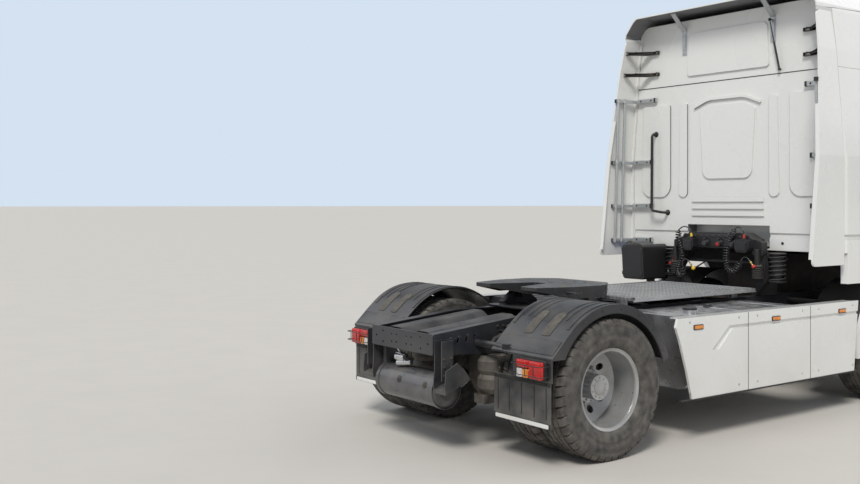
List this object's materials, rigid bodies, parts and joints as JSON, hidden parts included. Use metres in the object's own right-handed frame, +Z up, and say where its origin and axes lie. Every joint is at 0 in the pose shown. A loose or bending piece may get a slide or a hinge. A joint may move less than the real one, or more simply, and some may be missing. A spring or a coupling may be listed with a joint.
{
  "type": "cab-over tractor unit with two axles",
  "caption": "Two-axle cab-over tractor unit with sleeper cab, tilting cab, opening doors, steered front wheels and rocking coupling plate.",
  "frame": {"origin": "on the ground at the middle of the overall length and width", "axes": "+Z up, -Y towards the front of the vehicle, +X towards its left side"},
  "size_m": [3.03, 6.15, 3.7857],
  "materials": {
    "white_paint": "gloss",
    "frame_grey": "satin",
    "black_plastic": "satin",
    "guard_plastic": "satin",
    "tyre": "matte",
    "rim": "satin",
    "aluminium": "brushed",
    "galvanised": "satin",
    "greased_iron": "greasy",
    "rubber": "matte",
    "glass": "clear",
    "lamp_red": "gloss",
    "lamp_clear": "clear",
    "trim_fabric": "woven",
    "brass": "satin"
  },
  "bodies": {
    "chassis": {"air_filter": "black_plastic", "air_line_left": "rubber", "air_line_plugs": "brass", "air_line_right": "rubber", "air_springs": "rubber", "axle_cover": "guard_plastic", "bumper": "white_paint", "coupling_mount": "frame_grey", "crossmembers": "frame_grey", "deck": "aluminium", "drive_train": "greased_iron", "frame_rails": "frame_grey", "frame_tail": "frame_grey", "front_axle": "frame_grey", "front_guards": "guard_plastic", "fuel_tank": "aluminium", "headlamps": "lamp_clear", "left_boxes": "aluminium", "portal": "black_plastic", "radiator": "aluminium", "rear_air_tank": "frame_grey", "rear_axle": "frame_grey", "rear_mudguards": "guard_plastic", "side_skirts": "white_paint", "steps": "aluminium", "tail_lamps": "lamp_red"},
    "cab": {"cab_shell": "white_paint", "cab_roof": "white_paint", "windscreen": "glass", "side_fairings": "white_paint", "back_wall_fittings": "galvanised", "roof_deflector": "white_paint", "sun_visor": "black_plastic", "dashboard": "black_plastic", "steering_wheel": "black_plastic", "seats": "trim_fabric", "bunk": "trim_fabric", "grab_rail": "black_plastic"},
    "door_left": {"door_left": "white_paint", "door_glass_left": "glass", "mirror_left": "black_plastic", "door_handle_left": "black_plastic"},
    "door_right": {"door_right": "white_paint", "door_glass_right": "glass", "mirror_right": "black_plastic", "door_handle_right": "black_plastic"},
    "front_lid": {"front_lid": "white_paint"},
    "knuckle_left": {"knuckle_left": "frame_grey"},
    "knuckle_right": {"knuckle_right": "frame_grey"},
    "wheel_front_left": {"tyre_front_left": "tyre", "rim_front_left": "rim"},
    "wheel_front_right": {"tyre_front_right": "tyre", "rim_front_right": "rim"},
    "wheel_rear_left": {"tyres_rear_left": "tyre", "rims_rear_left": "rim"},
    "wheel_rear_right": {"tyres_rear_right": "tyre", "rims_rear_right": "rim"},
    "coupling": {"coupling_plate": "greased_iron"}
  },
  "joints": [
    {"name": "steer_left", "type": "hinge", "parent": "chassis", "child": "knuckle_left", "pos_m": [0.9, -1.695, 0.507], "axis": [0, 0, 1], "range_deg": [-40, 40]},
    {"name": "steer_right", "type": "hinge", "parent": "chassis", "child": "knuckle_right", "pos_m": [-0.9, -1.695, 0.507], "axis": [0, 0, 1], "range_deg": [-40, 40]},
    {"name": "spin_front_left", "type": "hinge", "parent": "knuckle_left", "child": "wheel_front_left", "pos_m": [1.04, -1.695, 0.507], "axis": [1, 0, 0], "continuous": true},
    {"name": "spin_front_right", "type": "hinge", "parent": "knuckle_right", "child": "wheel_front_right", "pos_m": [-1.04, -1.695, 0.507], "axis": [1, 0, 0], "continuous": true},
    {"name": "spin_rear_left", "type": "hinge", "parent": "chassis", "child": "wheel_rear_left", "pos_m": [1, 2.105, 0.507], "axis": [1, 0, 0], "continuous": true},
    {"name": "spin_rear_right", "type": "hinge", "parent": "chassis", "child": "wheel_rear_right", "pos_m": [-1, 2.105, 0.507], "axis": [1, 0, 0], "continuous": true},
    {"name": "cab_tilt", "type": "hinge", "parent": "chassis", "child": "cab", "pos_m": [0, -2.899, 1.11], "axis": [1, 0, 0], "range_deg": [0, 60]},
    {"name": "door_left_hinge", "type": "hinge", "parent": "cab", "child": "door_left", "pos_m": [1.222, -2.608, 1.8], "axis": [0, 0, -1], "range_deg": [0, 70]},
    {"name": "door_right_hinge", "type": "hinge", "parent": "cab", "child": "door_right", "pos_m": [-1.222, -2.608, 1.8], "axis": [0, 0, 1], "range_deg": [0, 70]},
    {"name": "front_lid_hinge", "type": "hinge", "parent": "cab", "child": "front_lid", "pos_m": [0, -2.984, 2.036], "axis": [-1, 0, 0], "range_deg": [0, 85]},
    {"name": "coupling_pitch", "type": "hinge", "parent": "chassis", "child": "coupling", "pos_m": [0, 1.545, 1.062], "axis": [1, 0, 0], "range_deg": [-15, 15]}
  ],
  "couplings": [
    {"joint": "steer_right", "follows": "steer_left", "ratio": 1}
  ]
}
